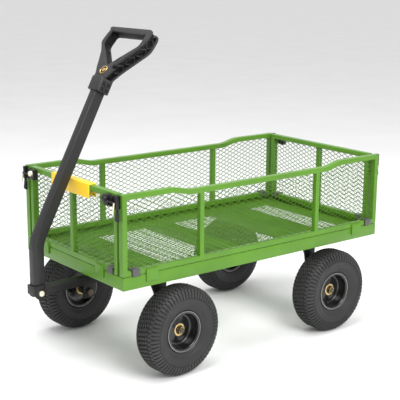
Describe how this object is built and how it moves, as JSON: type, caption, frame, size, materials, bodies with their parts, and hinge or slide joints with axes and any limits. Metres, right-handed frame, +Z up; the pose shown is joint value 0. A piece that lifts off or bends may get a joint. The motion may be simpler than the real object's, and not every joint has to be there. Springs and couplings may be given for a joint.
{
  "type": "garden cart",
  "caption": "Four-wheeled garden cart with a steel mesh bed, lift-off mesh sides, pneumatic tyres, steered front axle and a folding D-grip pull handle.",
  "frame": {"origin": "on the ground under the middle of the whole cart's box", "axes": "+Z up, -Y towards the pull handle, +X to the cart's left side, which is to the left of someone standing behind the cart, facing the handle"},
  "size_m": [0.584, 1.1321, 0.9351],
  "materials": {
    "powder_green": "glossy powder coat",
    "mesh_green": "powder coated expanded steel mesh",
    "satin_black": "satin black powder coat",
    "rim_black": "satin black paint",
    "tube_grey": "dark grey powder coat",
    "grip_plastic": "moulded, lightly textured",
    "badge_gold": "plated",
    "tyre_rubber": "moulded rubber",
    "zinc": "yellow zinc plate",
    "latch_black": "black paint",
    "latch_wire": "pale zinc plate",
    "clip_grey": "moulded",
    "bumper_yellow": "moulded soft plastic"
  },
  "bodies": {
    "root": {"side_rails": "powder_green", "end_rails": "powder_green", "cross_members": "powder_green", "floor_mesh": "mesh_green", "turntable_plate": "satin_black", "kingpin": "zinc", "rear_axle_stand": "satin_black", "rear_axle_bolts": "zinc", "rear_axle_hardware": "zinc", "frame_bolts": "zinc"},
    "steering": {"steering_stand": "satin_black", "front_axle_bolts": "zinc", "front_axle_hardware": "zinc", "tongue": "satin_black", "thrust_washer": "zinc", "tongue_bolts": "zinc", "pivot_bolt": "zinc"},
    "handle": {"handle_tube": "tube_grey", "handle_yoke": "satin_black", "grip": "grip_plastic", "grip_badge": "badge_gold", "grip_screws": "grip_plastic"},
    "front_left_wheel": {"front_left_tyre": "tyre_rubber", "front_left_rim": "rim_black", "front_left_bearings": "zinc"},
    "front_right_wheel": {"front_right_tyre": "tyre_rubber", "front_right_rim": "rim_black", "front_right_bearings": "zinc"},
    "rear_left_wheel": {"rear_left_tyre": "tyre_rubber", "rear_left_rim": "rim_black", "rear_left_bearings": "zinc"},
    "rear_right_wheel": {"rear_right_tyre": "tyre_rubber", "rear_right_rim": "rim_black", "rear_right_bearings": "zinc"},
    "left_side": {"left_side_frame": "powder_green", "left_side_mesh": "mesh_green", "left_side_clips": "clip_grey", "left_latch_bases": "latch_black"},
    "right_side": {"right_side_frame": "powder_green", "right_side_mesh": "mesh_green", "right_side_clips": "clip_grey", "right_latch_bases": "latch_black"},
    "front_side": {"front_side_frame": "powder_green", "front_side_mesh": "mesh_green", "front_side_clips": "clip_grey", "front_keepers": "latch_black", "bumper": "bumper_yellow"},
    "rear_side": {"rear_side_frame": "powder_green", "rear_side_mesh": "mesh_green", "rear_side_clips": "clip_grey", "rear_keepers": "latch_black"},
    "front_left_latch": {"front_left_lever": "latch_black", "front_left_hook": "latch_wire"},
    "front_right_latch": {"front_right_lever": "latch_black", "front_right_hook": "latch_wire"},
    "rear_left_latch": {"rear_left_lever": "latch_black", "rear_left_hook": "latch_wire"},
    "rear_right_latch": {"rear_right_lever": "latch_black", "rear_right_hook": "latch_wire"}
  },
  "joints": [
    {"name": "steer", "type": "hinge", "parent": "root", "child": "steering", "pos_m": [0, -0.24777, 0.26], "axis": [0, 0, 1], "range_deg": [-19, 13]},
    {"name": "handle_pivot", "type": "hinge", "parent": "steering", "child": "handle", "pos_m": [0.01539, -0.54137, 0.235], "axis": [0.9986, 0.0523, 0], "range_deg": [0, 125]},
    {"name": "front_left_spin", "type": "hinge", "parent": "steering", "child": "front_left_wheel", "pos_m": [0.24566, -0.2349, 0.127], "axis": [0.9986, 0.0523, 0], "continuous": true},
    {"name": "rear_left_spin", "type": "hinge", "parent": "root", "child": "rear_left_wheel", "pos_m": [0.246, 0.34923, 0.127], "axis": [1, 0, 0], "continuous": true},
    {"name": "front_right_spin", "type": "hinge", "parent": "steering", "child": "front_right_wheel", "pos_m": [-0.24566, -0.26065, 0.127], "axis": [0.9986, 0.0523, 0], "continuous": true},
    {"name": "rear_right_spin", "type": "hinge", "parent": "root", "child": "rear_right_wheel", "pos_m": [-0.246, 0.34923, 0.127], "axis": [1, 0, 0], "continuous": true},
    {"name": "left_side_lift", "type": "slide", "parent": "root", "child": "left_side", "axis": [0, 0, 1], "range_m": [0, 0.024]},
    {"name": "right_side_lift", "type": "slide", "parent": "root", "child": "right_side", "axis": [0, 0, 1], "range_m": [0, 0.024]},
    {"name": "front_side_lift", "type": "slide", "parent": "root", "child": "front_side", "axis": [0, 0, 1], "range_m": [0, 0.018]},
    {"name": "rear_side_lift", "type": "slide", "parent": "root", "child": "rear_side", "axis": [0, 0, 1], "range_m": [0, 0.024]},
    {"name": "front_left_latch_swing", "type": "hinge", "parent": "left_side", "child": "front_left_latch", "pos_m": [0.2405, -0.43027, 0.526], "axis": [-1, 0, 0], "range_deg": [0, 110]},
    {"name": "front_right_latch_swing", "type": "hinge", "parent": "right_side", "child": "front_right_latch", "pos_m": [-0.2405, -0.43027, 0.526], "axis": [-1, 0, 0], "range_deg": [0, 110]},
    {"name": "rear_left_latch_swing", "type": "hinge", "parent": "left_side", "child": "rear_left_latch", "pos_m": [0.2405, 0.55473, 0.526], "axis": [1, 0, 0], "range_deg": [0, 110]},
    {"name": "rear_right_latch_swing", "type": "hinge", "parent": "right_side", "child": "rear_right_latch", "pos_m": [-0.2405, 0.55473, 0.526], "axis": [1, 0, 0], "range_deg": [0, 110]}
  ]
}
